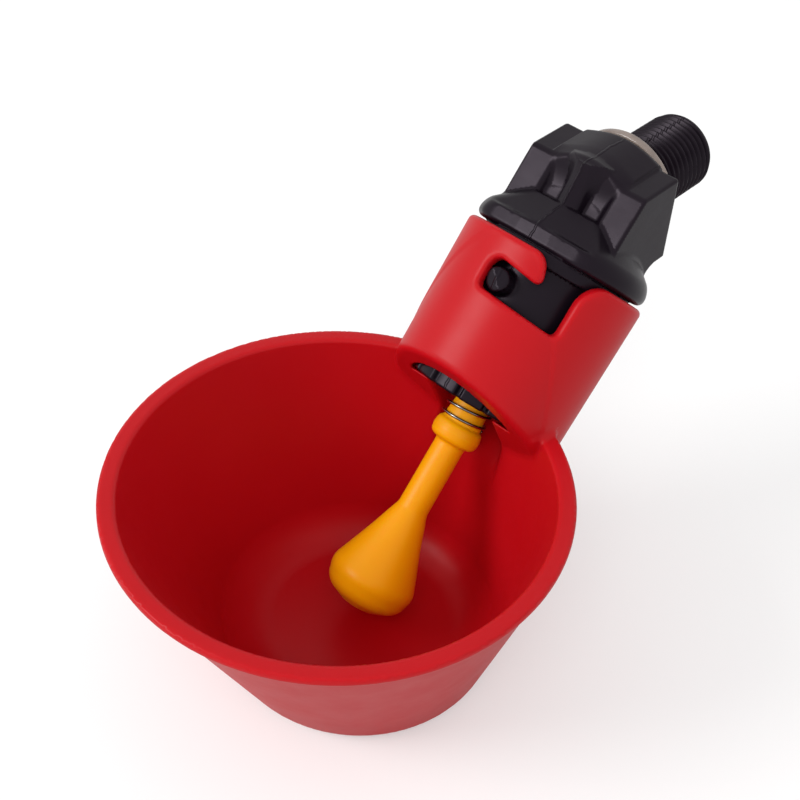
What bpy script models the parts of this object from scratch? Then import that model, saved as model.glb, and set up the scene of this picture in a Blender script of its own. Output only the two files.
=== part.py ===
"""Poultry drinking cup: a red bowl moulded with a bayonet socket, a black elbow valve that twists into the
socket, and a yellow trigger that hangs from the valve over the water and lets it in when a bird pecks it.

Metres, +Z up. The origin is the centre of the bowl's flat base. The whole cup is symmetrical about the XZ plane,
apart from the two bayonet slots. The valve leans towards +X, and its threaded inlet points along +X.

Three lines carry the pieces:
  valve axis    crosses the rim's plane at P and leans away from the bowl. Heights called s run along it from P.
  inlet axis    horizontal, meets the valve axis at the elbow.
  trigger axis  the valve axis again, with its pivot in the rubber seat.
Azimuth round the valve axis is 0 on its upper side, over the bowl, and grows towards -Y.
"""

import math

import bmesh
import bpy
from mathutils import Matrix, Vector

# Bowl: an oblique cone, its rim pushed away from the valve
BOWL_HEIGHT = 0.0306
RIM_RADIUS = 0.0277
RIM_SHIFT = 0.0045
BASE_RADIUS = 0.0172
BOWL_WALL = 0.0015
BASE_EDGE_RADIUS = 0.0016
FLOOR_FILLET = 0.0022
LIP_WIDTH = 0.0021
BEAD_HEIGHT = 0.0013
BEAD_OVERHANG = 0.0004

# Valve axis
AXIS_INSET = 0.0015
AXIS_LEAN = math.radians(43.1)

# Socket, moulded with the bowl: s is the height along the valve axis
SOCKET_WALL = 0.0015
SOCKET_DRAFT = math.radians(0.9)
SOCKET_TOP = 0.0170
SOCKET_TOP_EDGE = 0.0008
SOCKET_FLOOR = -0.0035
SOCKET_FLOOR_THICKNESS = 0.0014
RECESS_RADIUS = 0.0073
RECESS_END = -0.0126
MOUTH_TOP = -0.0010
MOUTH_SLOPE = math.radians(22)

# Bayonet: two lugs on the valve, two J-shaped slots in the socket
LUG_RADIUS = 0.00155
LUG_HEIGHT = 0.01165
LUG_INSET = 0.0005
LUG_PLAY = 0.0003
NOTCH_RISE = 0.0005
HOOK_CLEARANCE = 0.0002
HOOK_TIP_RADIUS = 0.0010
HOOK_HEEL_RADIUS = 0.0007
HOOK_TOP_RADIUS = 0.0013
HOOK_SLANT = 0.0012
BAYONET_TURN = math.radians(36)
ENTRY_WIDTH = 0.0047
ENTRY_DROP = 0.0006
ENTRY_CORNER_RADIUS = 0.0019
ENTRY_SHOULDER_RADIUS = 0.0034
SLOT_EDGE_CHAMFER = 0.0005

# Valve body: barrel, skirt and elbow knob in one moulding
BARREL_RADIUS = 0.0092
GUIDE_DEPTH = 0.0010
GUIDE_CLEARANCE = 0.0003
GUIDE_HEIGHT = 0.0014
SPIGOT_RADIUS = 0.0073
SPIGOT_LENGTH = 0.0025
CHAMBER_RADIUS = 0.0052
CHAMBER_LENGTH = 0.0075
SKIRT_INSET = 0.00022
SKIRT_BAND = 0.0022
SKIRT_EDGE_RADIUS = 0.0007
SKIRT_FLAT_DEPTH = 0.00228
SKIRT_FLAT_HALF_WIDTH = 0.0023
DOME_SLOPE = math.radians(43)
DOME_TOP_RADIUS = 0.00365
DOME_TOP_RISE = 0.00285
ELBOW_HEIGHT = 0.02494
WING_HALF_WIDTH = 0.0087
WING_FRONT = 0.0053
WING_BACK = 0.0056
WING_RISE = 0.0060
WING_DROP = 0.0056
WING_REACH = 0.0052
VALLEY_HALF_WIDTH = 0.0048
VALLEY_FLOOR = 0.0042
RIB_HALF_WIDTH = 0.0015
RIB_SHOULDER = 0.0057
RIB_FRONT = 0.0067
PROW_TOP = 0.0233
PROW_RECESS = 0.0003
PROW_RAKE = 0.167

# Inlet: a one-eighth inch taper thread, its crests drawn as a plain cylinder. Lengths start at the elbow
COLLAR_RADIUS = 0.0075
COLLAR_START = -0.0016
COLLAR_END = 0.0056
COLLAR_BLEND = 0.0020
THREAD_RADIUS = 0.00514
THREAD_END_CHAMFER = 0.0006
INLET_REACH = 0.0194
INLET_BORE = 0.0030

# Thread washer
WASHER_RADIUS = 0.0076
WASHER_THICKNESS = 0.0014
WASHER_EDGE_RADIUS = 0.0004

# Retaining cap, screwed on the spigot
CAP_RADIUS = 0.00876
CAP_BOTTOM = -0.00245
CAP_GRIP_COUNT = 12
CAP_GRIP_WIDTH = 0.0010
CAP_GRIP_DEPTH = 0.0007
CAP_GRIP_HEIGHT = 0.0020
CAP_WEB = 0.0012
CAP_WEB_HOLE = 0.0022
SPRING_WELL_RADIUS = 0.0039
SPRING_WELL_DEPTH = 0.0009

# Rubber seat
GASKET_THICKNESS = 0.0015
GASKET_HOLE = 0.0019

# Trigger: head, neck, collar, stem and bulb in one moulding
HEAD_RADIUS = 0.0034
HEAD_HEIGHT = 0.0019
HEAD_UNDERCUT = math.radians(17)
NECK_RADIUS = 0.00145
SPRING_SEAT_RADIUS = 0.0023
COLLAR_TOP = -0.00615
TRIGGER_COLLAR_RADIUS = 0.0031
TRIGGER_COLLAR_HEIGHT = 0.0022
STEM_RADIUS = 0.00178
BULB_LENGTH = 0.0142
BULB_RADIUS = 0.0059
BULB_BELT = 0.0037
TIP_CLEARANCE = 0.00464

# Return spring, round the trigger's neck
WIRE_RADIUS = 0.00019
SPRING_CLEARANCE = 0.00046
SPRING_TURNS = 3.5
SPRING_END_GAP = 0.00058

# Running and fitting gap between pieces that touch
GAP = 0.0003

BOWL_SEGMENTS = 80
ROUND_SEGMENTS = 56
SMALL_SEGMENTS = 32
ARC_STEPS = 5
ARC_LENGTH = 0.0005
SHARP_ANGLE = math.radians(35)


# Derived places

CROSSING = Vector((RIM_RADIUS - RIM_SHIFT - AXIS_INSET, 0, BOWL_HEIGHT))
VALVE_AXIS = Vector((math.sin(AXIS_LEAN), 0, math.cos(AXIS_LEAN)))
VALVE_TOP = Vector((-math.cos(AXIS_LEAN), 0, math.sin(AXIS_LEAN)))
VALVE_SIDE = Vector((0, -1, 0))
ELBOW = CROSSING + ELBOW_HEIGHT * VALVE_AXIS

GASKET_BOTTOM = CAP_BOTTOM + SPRING_WELL_DEPTH + CAP_WEB + GAP
GASKET_TOP = GASKET_BOTTOM + GASKET_THICKNESS
SPIGOT_END = GASKET_TOP + GAP
HEAD_SEAT = GASKET_TOP + GAP
TRIGGER_PIVOT = (GASKET_BOTTOM + 2 * GASKET_TOP) / 3
GUIDE_RADIUS = BARREL_RADIUS + GUIDE_DEPTH
SOCKET_BORE = GUIDE_RADIUS + GUIDE_CLEARANCE
SOCKET_RADIUS = SOCKET_BORE + SOCKET_WALL
LUG_REACH = SOCKET_RADIUS - LUG_INSET
SKIRT_RADIUS = SOCKET_RADIUS - SKIRT_INSET
SKIRT_FLAT = SKIRT_RADIUS - SKIRT_FLAT_DEPTH
SKIRT_BOTTOM = SOCKET_TOP + GAP
DOME_START = SKIRT_BOTTOM + SKIRT_BAND
SPRING_RADIUS = SPRING_SEAT_RADIUS + SPRING_CLEARANCE + WIRE_RADIUS
TRIGGER_TIP = (BOWL_WALL + TIP_CLEARANCE - BOWL_HEIGHT) / math.cos(AXIS_LEAN)
BULB_WIDEST = TRIGGER_TIP + BULB_BELT
BULB_SHOULDER = TRIGGER_TIP + BULB_LENGTH


def frame_matrix(origin, x_axis, y_axis, z_axis):
    """The matrix of a frame with this origin and these three axes."""
    turned_axes = Matrix((x_axis, y_axis, z_axis)).transposed().to_4x4()
    return Matrix.Translation(origin) @ turned_axes


VALVE_FRAME = frame_matrix(CROSSING, VALVE_TOP, VALVE_SIDE, VALVE_AXIS)
INLET_FRAME = frame_matrix(ELBOW, Vector((0, 0, 1)), Vector((0, -1, 0)), Vector((1, 0, 0)))


# Scene helpers


def clear_scene():
    """Takes every object out of the scene."""
    for obj in list(bpy.data.objects):
        bpy.data.objects.remove(obj)


def plastic(name, colour, roughness, metallic=0.0):
    """A Principled material of one colour."""
    material = bpy.data.materials.new(name)
    material.use_nodes = True
    shader = material.node_tree.nodes["Principled BSDF"]
    shader.inputs["Base Color"].default_value = (*colour, 1)
    shader.inputs["Roughness"].default_value = roughness
    shader.inputs["Metallic"].default_value = metallic
    return material


def add_axis(name, matrix, parent=None):
    """An empty that carries the pieces of one axis."""
    axis = bpy.data.objects.new(name, None)
    axis.empty_display_size = 0.01
    bpy.context.collection.objects.link(axis)
    axis.parent = parent
    axis.matrix_local = matrix
    return axis


def add_object(name, shape, parent=None, material=None):
    """Puts a finished bmesh in the scene, under its parent's axis."""
    bmesh.ops.recalc_face_normals(shape, faces=shape.faces)
    mesh = bpy.data.meshes.new(name)
    shape.to_mesh(mesh)
    shape.free()
    mesh.shade_smooth()
    mesh.set_sharp_from_angle(angle=SHARP_ANGLE)
    obj = bpy.data.objects.new(name, mesh)
    bpy.context.collection.objects.link(obj)
    obj.parent = parent
    if material:
        mesh.materials.append(material)
    return obj


def combine(target, operand, operation):
    """Joins the operand to the target, cuts it from the target, or keeps what both hold."""
    modifier = target.modifiers.new(f"{operation.lower()} {operand.name}", "BOOLEAN")
    modifier.object = operand
    modifier.operation = operation
    modifier.solver = "EXACT"
    operand.hide_render = True
    operand.display_type = "WIRE"


def join(target, *pieces):
    for piece in pieces:
        combine(target, piece, "UNION")


def cut(target, *cutters):
    for cutter in cutters:
        combine(target, cutter, "DIFFERENCE")


# Shapes


def arc(centre, radius, start, end, steps=ARC_STEPS):
    """Points on a circle from one angle to another, in degrees, both ends included."""
    turn = [math.radians(start + (end - start) * i / steps) for i in range(steps + 1)]
    return [(centre[0] + radius * math.cos(a), centre[1] + radius * math.sin(a)) for a in turn]


def turned(profile, segments):
    """A profile of (radius, height) points spun about Z. It is closed on itself, or runs from pole to pole."""
    shape = bmesh.new()
    line = [shape.verts.new((radius, 0, height)) for radius, height in profile]
    steps = list(zip(line, line[1:]))
    if profile[0][0] > 0:
        steps.append((line[-1], line[0]))
    edges = [shape.edges.new(pair) for pair in steps]
    bmesh.ops.spin(
        shape, geom=line + edges, cent=(0, 0, 0), axis=(0, 0, 1), angle=math.tau, steps=segments, use_merge=True
    )
    bmesh.ops.remove_doubles(shape, verts=shape.verts, dist=1e-7)
    return shape


def lofted(rings):
    """A skin through rings of points, with a flat cap on the first and on the last."""
    shape = bmesh.new()
    loops = [[shape.verts.new(point) for point in ring] for ring in rings]
    count = len(rings[0])
    for low, high in zip(loops, loops[1:]):
        for i in range(count):
            j = (i + 1) % count
            shape.faces.new((low[i], low[j], high[j], high[i]))
    shape.faces.new(loops[0])
    shape.faces.new(loops[-1])
    return shape


def extruded(outline, low, high):
    """A flat outline of (x, y) points, extruded along Z from low to high."""
    shape = bmesh.new()
    face = shape.faces.new([shape.verts.new((x, y, low)) for x, y in outline])
    grown = bmesh.ops.extrude_face_region(shape, geom=[face])
    top = [item for item in grown["geom"] if isinstance(item, bmesh.types.BMVert)]
    bmesh.ops.translate(shape, verts=top, vec=(0, 0, high - low))
    return shape


def cylinder_shape(radius, low, high, segments=ROUND_SEGMENTS):
    """A round bar about Z."""
    return turned([(0, low), (radius, low), (radius, high), (0, high)], segments)


def circle(centre_x, height, radius, segments):
    """A level ring of points."""
    angles = [math.tau * i / segments for i in range(segments)]
    return [(centre_x + radius * math.cos(a), radius * math.sin(a), height) for a in angles]


# Bowl and socket


def bowl_centre(height):
    """Where the bowl's centre line is at this height: it leans away from the valve."""
    return -RIM_SHIFT * height / BOWL_HEIGHT


def outer_radius(height):
    """The bowl's outer wall under the bead."""
    top = RIM_RADIUS - BEAD_OVERHANG
    return BASE_RADIUS + (top - BASE_RADIUS) * height / BOWL_HEIGHT


def inner_radius(height):
    """The bowl's inner wall, which thickens a little towards the lip."""
    bottom = BASE_RADIUS - BOWL_WALL
    return bottom + (RIM_RADIUS - LIP_WIDTH - bottom) * height / BOWL_HEIGHT


def bowl_shape():
    """The bowl as one skin: flat base, outer wall, bead, lip, inner wall, fillet and floor."""
    profile = arc((outer_radius(0) - BASE_EDGE_RADIUS, BASE_EDGE_RADIUS), BASE_EDGE_RADIUS, -90, -12)
    bead_foot = BOWL_HEIGHT - BEAD_HEIGHT
    profile.append((outer_radius(bead_foot), bead_foot - BEAD_OVERHANG))
    lip_half = LIP_WIDTH / 2
    lip_centre = (RIM_RADIUS - lip_half, BOWL_HEIGHT - BEAD_HEIGHT / 2)
    for across, up in arc((0, 0), 1, -50, 180, 9):
        profile.append((lip_centre[0] + lip_half * across, lip_centre[1] + BEAD_HEIGHT / 2 * up))
    floor_edge = inner_radius(BOWL_WALL + FLOOR_FILLET) - FLOOR_FILLET
    profile += arc((floor_edge, BOWL_WALL + FLOOR_FILLET), FLOOR_FILLET, 5, -90)
    return lofted([circle(bowl_centre(z), z, r, BOWL_SEGMENTS) for r, z in profile])


def bowl_interior_shape():
    """The space inside the bowl, carried on above the rim, with its skin half way into the wall."""
    heights = (-BOWL_HEIGHT, 2.5 * BOWL_HEIGHT)
    return lofted(
        [circle(bowl_centre(z), z, inner_radius(z) + BOWL_WALL / 2, BOWL_SEGMENTS) for z in heights]
    )


def socket_radius(s):
    """The socket's outer radius, which grows upwards by the mould's draft."""
    return SOCKET_RADIUS + s * math.tan(SOCKET_DRAFT)


def socket_shape():
    """The socket's outer form: narrow foot round the recess, sloping shoulder, wide tube, top edge."""
    shoulder = SOCKET_FLOOR - SOCKET_FLOOR_THICKNESS
    foot = RECESS_RADIUS + SOCKET_FLOOR_THICKNESS
    edge = SOCKET_TOP_EDGE
    profile = [(0, RECESS_END), (foot, RECESS_END), (foot, shoulder - SOCKET_FLOOR_THICKNESS)]
    profile.append((socket_radius(shoulder), shoulder))
    profile += arc((socket_radius(SOCKET_TOP) - edge, SOCKET_TOP - edge), edge, 0, 90)
    profile.append((0, SOCKET_TOP))
    return turned(profile, ROUND_SEGMENTS)


def mouth_side_shape():
    """The half space under the socket's slanting mouth."""
    reach = 3 * RIM_RADIUS
    slope = math.tan(MOUTH_SLOPE)
    outline = [
        (-reach, MOUTH_TOP - slope * (SOCKET_BORE + reach)),
        (reach, MOUTH_TOP - slope * (SOCKET_BORE - reach)),
        (reach, -reach * 2),
        (-reach, -reach * 2),
    ]
    shape = extruded(outline, -reach, reach)
    bmesh.ops.rotate(shape, verts=shape.verts, matrix=Matrix.Rotation(math.pi / 2, 3, "X"))
    return shape


def rounded(corners):
    """An outline of (x, y, radius) corners with each corner turned into an arc of its radius."""
    points = []
    for before, here, after in zip(corners[-1:] + corners[:-1], corners, corners[1:] + corners[:1]):
        corner = Vector(here[:2])
        back = (Vector(before[:2]) - corner).normalized()
        ahead = (Vector(after[:2]) - corner).normalized()
        if here[2] == 0:
            points.append(tuple(corner))
            continue
        half = back.angle(ahead) / 2
        centre = corner + (back + ahead).normalized() * here[2] / math.sin(half)
        start = corner + back * here[2] / math.tan(half) - centre
        turn = math.pi - 2 * half
        side = -1 if back.cross(ahead) > 0 else 1
        steps = max(3, round(turn * here[2] / ARC_LENGTH))
        for i in range(steps + 1):
            angle = side * turn * i / steps
            swung = Matrix.Rotation(angle, 2) @ start
            points.append(tuple(centre + swung))
    return points


def slot_outline():
    """One bayonet slot unrolled: (arc length round the socket, s). The lug locks at arc length 0."""
    notch = LUG_RADIUS + LUG_PLAY
    notch_top = LUG_HEIGHT + NOTCH_RISE + notch
    hook_bottom = LUG_HEIGHT + LUG_RADIUS + HOOK_CLEARANCE
    entry = BAYONET_TURN * socket_radius(SOCKET_TOP)
    left = entry - ENTRY_WIDTH / 2
    right = entry + ENTRY_WIDTH / 2
    floor = LUG_HEIGHT - notch
    over_rim = SOCKET_TOP + GAP
    above = SOCKET_TOP + notch
    hook_top = left - HOOK_SLANT
    return rounded(
        [
            (notch, above, 0),
            (notch, over_rim + GAP / 2, 0),
            (hook_top, over_rim, HOOK_TOP_RADIUS),
            (left + HOOK_TIP_RADIUS / 3, hook_bottom, HOOK_TIP_RADIUS),
            (0.8 * notch, hook_bottom, HOOK_HEEL_RADIUS),
            (0.5 * notch, notch_top, HOOK_HEEL_RADIUS),
            (-notch, notch_top, 0.95 * notch),
            (-notch, floor, 0.95 * notch),
            (right, floor - ENTRY_DROP, ENTRY_CORNER_RADIUS),
            (right, over_rim, ENTRY_SHOULDER_RADIUS),
            (right + 1.3 * ENTRY_SHOULDER_RADIUS, over_rim + GAP / 2, 0),
            (right + 1.3 * ENTRY_SHOULDER_RADIUS, above, 0),
        ]
    )


def grown_outline(points, distance):
    """A counter-clockwise outline with each point moved outwards along its corner's normal."""
    grown = []
    for before, here, after in zip(points[-1:] + points[:-1], points, points[1:] + points[:1]):
        along = (Vector(here) - Vector(before)).normalized() + (Vector(after) - Vector(here)).normalized()
        along.normalize()
        grown.append((here[0] + along.y * distance, here[1] - along.x * distance))
    return grown


def slot_cutter_shape():
    """The slot's outline bent round the valve axis, flaring at the socket's skin, between two flat faces."""
    wrap = socket_radius(SOCKET_TOP)
    skin = socket_radius(LUG_HEIGHT)
    outline = slot_outline()
    chamfered = grown_outline(outline, SLOT_EDGE_CHAMFER)
    low = min(u for u, _ in chamfered) / wrap
    high = max(u for u, _ in chamfered) / wrap
    middle = (low + high) / 2
    inner_face = (SOCKET_BORE - BOWL_WALL / 2) * math.cos((high - low) / 2)
    outer_face = socket_radius(SOCKET_TOP) + BOWL_WALL

    def bent(points, radius, flat):
        ring = []
        for u, s in points:
            turn = u / wrap
            reach = radius / math.cos(turn - middle) if flat else radius
            ring.append((reach * math.cos(turn), reach * math.sin(turn), s))
        return ring

    return lofted(
        [
            bent(outline, inner_face, True),
            bent(outline, skin - SLOT_EDGE_CHAMFER, False),
            bent(chamfered, skin, False),
            bent(chamfered, outer_face, True),
        ]
    )


def add_cup(valve_axis, material):
    """The bowl and its bayonet socket: one moulding."""
    cup = add_object("cup", bowl_shape(), None, material)
    socket = add_object("socket", socket_shape(), valve_axis, material)
    mouth = add_object("mouth_side", mouth_side_shape(), valve_axis)
    hood_bore = cylinder_shape(SOCKET_BORE + GAP, -BOWL_HEIGHT, SOCKET_TOP + GAP)
    join(mouth, add_object("mouth_bore", hood_bore, valve_axis))
    interior = add_object("bowl_interior", bowl_interior_shape())
    combine(interior, mouth, "INTERSECT")
    cut(socket, interior)
    join(cup, socket)
    bore = cylinder_shape(SOCKET_BORE, SOCKET_FLOOR, SOCKET_TOP + SOCKET_BORE)
    recess = cylinder_shape(RECESS_RADIUS, RECESS_END - BOWL_WALL, SOCKET_FLOOR + BOWL_WALL)
    cut(cup, add_object("socket_bore", bore, valve_axis), add_object("trigger_recess", recess, valve_axis))
    for side in (0, 1):
        cutter = add_object(f"bayonet_slot_{side + 1}", slot_cutter_shape(), valve_axis)
        cutter.rotation_euler.z = side * math.pi
        cut(cup, cutter)
    cup.parent = valve_axis
    cup.matrix_parent_inverse = VALVE_FRAME.inverted()
    return cup


# Valve body


def barrel_shape():
    """Spigot, guide ring, barrel, neck, skirt and the dome that the knob stands on."""
    step = SPIGOT_END + SPIGOT_LENGTH
    edge = SKIRT_EDGE_RADIUS
    profile = [
        (0, SPIGOT_END),
        (SPIGOT_RADIUS, SPIGOT_END),
        (SPIGOT_RADIUS, step),
        (GUIDE_RADIUS, step),
        (GUIDE_RADIUS, step + GUIDE_HEIGHT),
        (BARREL_RADIUS, step + GUIDE_HEIGHT + GUIDE_RADIUS - BARREL_RADIUS),
        (BARREL_RADIUS, SOCKET_TOP - GUIDE_HEIGHT),
        (GUIDE_RADIUS, SOCKET_TOP - GUIDE_HEIGHT),
        (GUIDE_RADIUS, SKIRT_BOTTOM),
    ]
    profile += arc((SKIRT_RADIUS - edge, SKIRT_BOTTOM + edge), edge, -90, 0, 3)
    profile += arc((SKIRT_RADIUS - edge, DOME_START - edge), edge, 0, math.degrees(DOME_SLOPE), 3)
    dome_top = ELBOW_HEIGHT + DOME_TOP_RISE
    profile += [(DOME_TOP_RADIUS, dome_top), (0, dome_top)]
    return turned(profile, ROUND_SEGMENTS)


def in_valve_frame(point):
    """A world point as (height over the valve axis, height along it)."""
    local = VALVE_FRAME.inverted() @ Vector(point)
    return local.x, local.z


def wing_outline():
    """The elbow seen from the side, as (over, along) the valve axis: two flats mitred at the bend."""
    start = SKIRT_BOTTOM + SKIRT_BAND / 2
    top_start = in_valve_frame((0, 0, ELBOW.z + WING_RISE))
    top_end = in_valve_frame((ELBOW.x + WING_REACH, 0, ELBOW.z + WING_RISE))
    low_start = in_valve_frame((0, 0, ELBOW.z - WING_DROP))
    low_end = in_valve_frame((ELBOW.x + WING_REACH, 0, ELBOW.z - WING_DROP))

    def mitre(line_start, line_end, over):
        share = (over - line_start[0]) / (line_end[0] - line_start[0])
        return over, line_start[1] + share * (line_end[1] - line_start[1])

    return [
        (WING_FRONT, start),
        mitre(top_start, top_end, WING_FRONT),
        top_end,
        low_end,
        mitre(low_start, low_end, -WING_BACK),
        (-WING_BACK, start),
    ]


def bar_shape(outline, low, high):
    """A side outline of (over, along) points, extruded across the valve from low to high."""
    shape = extruded(outline, low, high)
    bmesh.ops.rotate(shape, verts=shape.verts, matrix=Matrix.Rotation(math.pi / 2, 3, "X"))
    return shape


def along_axis_shape(section, low, high):
    """A section of (over, across) points, extruded along the valve axis."""
    return extruded(section, low, high)


def valley_section(side):
    """The groove beside the rib, whose far wall is the wing's inner face."""
    lift = RIB_FRONT * 2
    return [
        (VALLEY_FLOOR, 0),
        (VALLEY_FLOOR, side * (VALLEY_HALF_WIDTH - BOWL_WALL / 3)),
        (WING_FRONT, side * VALLEY_HALF_WIDTH),
        (lift, side * VALLEY_HALF_WIDTH),
        (lift, 0),
    ]


def rib_section():
    """The raised rib between the two valleys: steep flanks under a low gable, with its foot sunk in the knob."""
    foot = VALLEY_FLOOR - RIB_HALF_WIDTH
    return [
        (foot, -RIB_HALF_WIDTH * 1.5),
        (foot, RIB_HALF_WIDTH * 1.5),
        (RIB_SHOULDER, RIB_HALF_WIDTH),
        (RIB_FRONT, 0),
        (RIB_SHOULDER, -RIB_HALF_WIDTH),
    ]


def skirt_flat_section():
    """What is cut from the front of the skirt: a centre flat and two slightly turned ones."""
    outside = 2 * SKIRT_RADIUS
    turned_edge = SKIRT_RADIUS * math.cos(math.radians(40))
    turned_half = SKIRT_RADIUS * math.sin(math.radians(40))
    return [
        (turned_edge, -turned_half),
        (SKIRT_FLAT, -SKIRT_FLAT_HALF_WIDTH),
        (SKIRT_FLAT, SKIRT_FLAT_HALF_WIDTH),
        (turned_edge, turned_half),
        (outside, outside),
        (outside, -outside),
    ]


def prow_cutter_shape(side):
    """One side of the pocket above the skirt: its floor falls away from a ridge in the symmetry plane."""
    low = DOME_START + GAP
    outside = 2 * SKIRT_RADIUS
    foot = SKIRT_FLAT - PROW_RECESS
    wide_low, wide_top = 0.6 * SKIRT_RADIUS, VALLEY_HALF_WIDTH
    floor = [
        (foot, 0, low),
        (foot - PROW_RAKE * wide_low, side * wide_low, low),
        (RIB_FRONT - PROW_RAKE * wide_top, side * wide_top, PROW_TOP),
        (RIB_FRONT, 0, PROW_TOP),
    ]
    roof = [(outside, y, s) for _, y, s in floor]
    return lofted([floor, roof])


def thread_shape():
    """The inlet stub about its own axis: cone and collar, neck under the washer, thread crests, end chamfer."""
    return turned(
        [
            (0, COLLAR_START - COLLAR_BLEND),
            (COLLAR_RADIUS - 1.2 * COLLAR_BLEND, COLLAR_START - COLLAR_BLEND),
            (COLLAR_RADIUS, COLLAR_START),
            (COLLAR_RADIUS, COLLAR_END),
            (THREAD_RADIUS, COLLAR_END),
            (THREAD_RADIUS, INLET_REACH - THREAD_END_CHAMFER),
            (THREAD_RADIUS - THREAD_END_CHAMFER, INLET_REACH),
            (0, INLET_REACH),
        ],
        ROUND_SEGMENTS,
    )


def chamber_shape():
    """The water space along the valve axis: a wide chamber over the seat, then a narrow way to the elbow."""
    below = SPIGOT_END - SPIGOT_LENGTH
    wide_end = SPIGOT_END + CHAMBER_LENGTH
    narrow_end = ELBOW_HEIGHT + INLET_BORE / 2
    return turned(
        [
            (0, below),
            (CHAMBER_RADIUS, below),
            (CHAMBER_RADIUS, wide_end),
            (INLET_BORE, wide_end + CHAMBER_RADIUS - INLET_BORE),
            (INLET_BORE, narrow_end),
            (0, narrow_end),
        ],
        SMALL_SEGMENTS,
    )


def inlet_bore_shape():
    """The hole through the threaded stub, as far as the elbow."""
    return cylinder_shape(INLET_BORE, 0, INLET_REACH + INLET_BORE, SMALL_SEGMENTS)


def lug_shape(side):
    """A bayonet lug: a round peg across the barrel with a domed end."""
    start = BARREL_RADIUS - BOWL_WALL
    edge = LUG_RADIUS / 3
    profile = [(0, start), (LUG_RADIUS, start)]
    profile += arc((LUG_RADIUS - edge, LUG_REACH - edge), edge, 0, 90, 3)
    profile.append((0, LUG_REACH + edge / 2))
    shape = turned(profile, 24)
    bmesh.ops.rotate(shape, verts=shape.verts, matrix=Matrix.Rotation(side * math.pi / 2, 3, "Y"))
    bmesh.ops.translate(shape, verts=shape.verts, vec=(0, 0, LUG_HEIGHT))
    return shape


def add_valve_body(valve_axis, inlet_axis, material):
    """The black elbow: one moulding from the spigot to the thread."""
    body = add_object("valve_body", barrel_shape(), valve_axis, material)
    skirt_cut = along_axis_shape(skirt_flat_section(), SKIRT_BOTTOM - SKIRT_BAND, PROW_TOP)
    cut(body, add_object("skirt_flat", skirt_cut, valve_axis))
    for side in (-1, 1):
        cut(body, add_object(f"prow_side_{side + 2}", prow_cutter_shape(side), valve_axis))
    valleys = [(VALLEY_FLOOR, -VALLEY_HALF_WIDTH), (VALLEY_FLOOR, VALLEY_HALF_WIDTH)]
    valleys += [(2 * SKIRT_RADIUS, VALLEY_HALF_WIDTH), (2 * SKIRT_RADIUS, -VALLEY_HALF_WIDTH)]
    dome_cut = along_axis_shape(valleys, PROW_TOP - GAP / 3, ELBOW_HEIGHT + SKIRT_RADIUS)
    cut(body, add_object("dome_behind_prow", dome_cut, valve_axis))
    knob = add_object("knob", bar_shape(wing_outline(), -WING_HALF_WIDTH, WING_HALF_WIDTH), valve_axis, material)
    rib_end = in_valve_frame((ELBOW.x + COLLAR_START, 0, ELBOW.z + COLLAR_RADIUS))[1]
    for side in (-1, 1):
        groove = along_axis_shape(valley_section(side), DOME_START, rib_end + RIB_FRONT)
        cut(knob, add_object(f"valley_{side + 2}", groove, valve_axis))
    rib = add_object("rib", along_axis_shape(rib_section(), PROW_TOP - GAP, rib_end), valve_axis, material)
    stub = add_object("inlet_stub", thread_shape(), inlet_axis, material)
    join(body, knob, rib, stub)
    for side in (-1, 1):
        join(body, add_object(f"lug_{side + 2}", lug_shape(side), valve_axis, material))
    cut(body, add_object("chamber", chamber_shape(), valve_axis))
    cut(body, add_object("inlet_bore", inlet_bore_shape(), inlet_axis))
    return body


# Small pieces on the valve


def add_thread_washer(inlet_axis, material):
    """The flat washer that seals the thread's shoulder."""
    low = COLLAR_END + GAP
    high = low + WASHER_THICKNESS
    edge = WASHER_EDGE_RADIUS
    hole = THREAD_RADIUS + GAP
    profile = [(hole, low), (hole, high)]
    profile += arc((WASHER_RADIUS - edge, high - edge), edge, 90, 0, 3)
    profile += arc((WASHER_RADIUS - edge, low + edge), edge, 0, -90, 3)
    return add_object("thread_washer", turned(profile, ROUND_SEGMENTS), inlet_axis, material)


def add_retaining_cap(valve_axis, material):
    """The cap that holds the seat in the barrel, with grip notches round its lower edge."""
    rim = SPIGOT_END + SPIGOT_LENGTH - GAP
    ledge = CAP_BOTTOM + SPRING_WELL_DEPTH
    web_top = ledge + CAP_WEB
    inside = SPIGOT_RADIUS + GAP
    edge = GAP
    profile = [
        (SPRING_WELL_RADIUS, CAP_BOTTOM),
        (CAP_RADIUS - edge, CAP_BOTTOM),
        (CAP_RADIUS, CAP_BOTTOM + edge),
        (CAP_RADIUS, rim - edge),
        (CAP_RADIUS - edge, rim),
        (inside, rim),
        (inside, web_top),
        (CAP_WEB_HOLE, web_top),
        (CAP_WEB_HOLE, ledge),
        (SPRING_WELL_RADIUS, ledge),
    ]
    cap = add_object("retaining_cap", turned(profile, 48), valve_axis, material)
    half = CAP_GRIP_WIDTH / 2
    notch = [
        (CAP_RADIUS - CAP_GRIP_DEPTH, -half / 2),
        (CAP_RADIUS - CAP_GRIP_DEPTH, half / 2),
        (CAP_RADIUS + CAP_GRIP_DEPTH, 2 * half),
        (CAP_RADIUS + CAP_GRIP_DEPTH, -2 * half),
    ]
    for i in range(CAP_GRIP_COUNT):
        shape = extruded(notch, CAP_BOTTOM - CAP_GRIP_HEIGHT, CAP_BOTTOM + CAP_GRIP_HEIGHT)
        cutter = add_object(f"grip_notch_{i + 1}", shape, valve_axis)
        cutter.rotation_euler.z = math.tau * (i + 0.8) / CAP_GRIP_COUNT
        cut(cap, cutter)
    return cap


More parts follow.
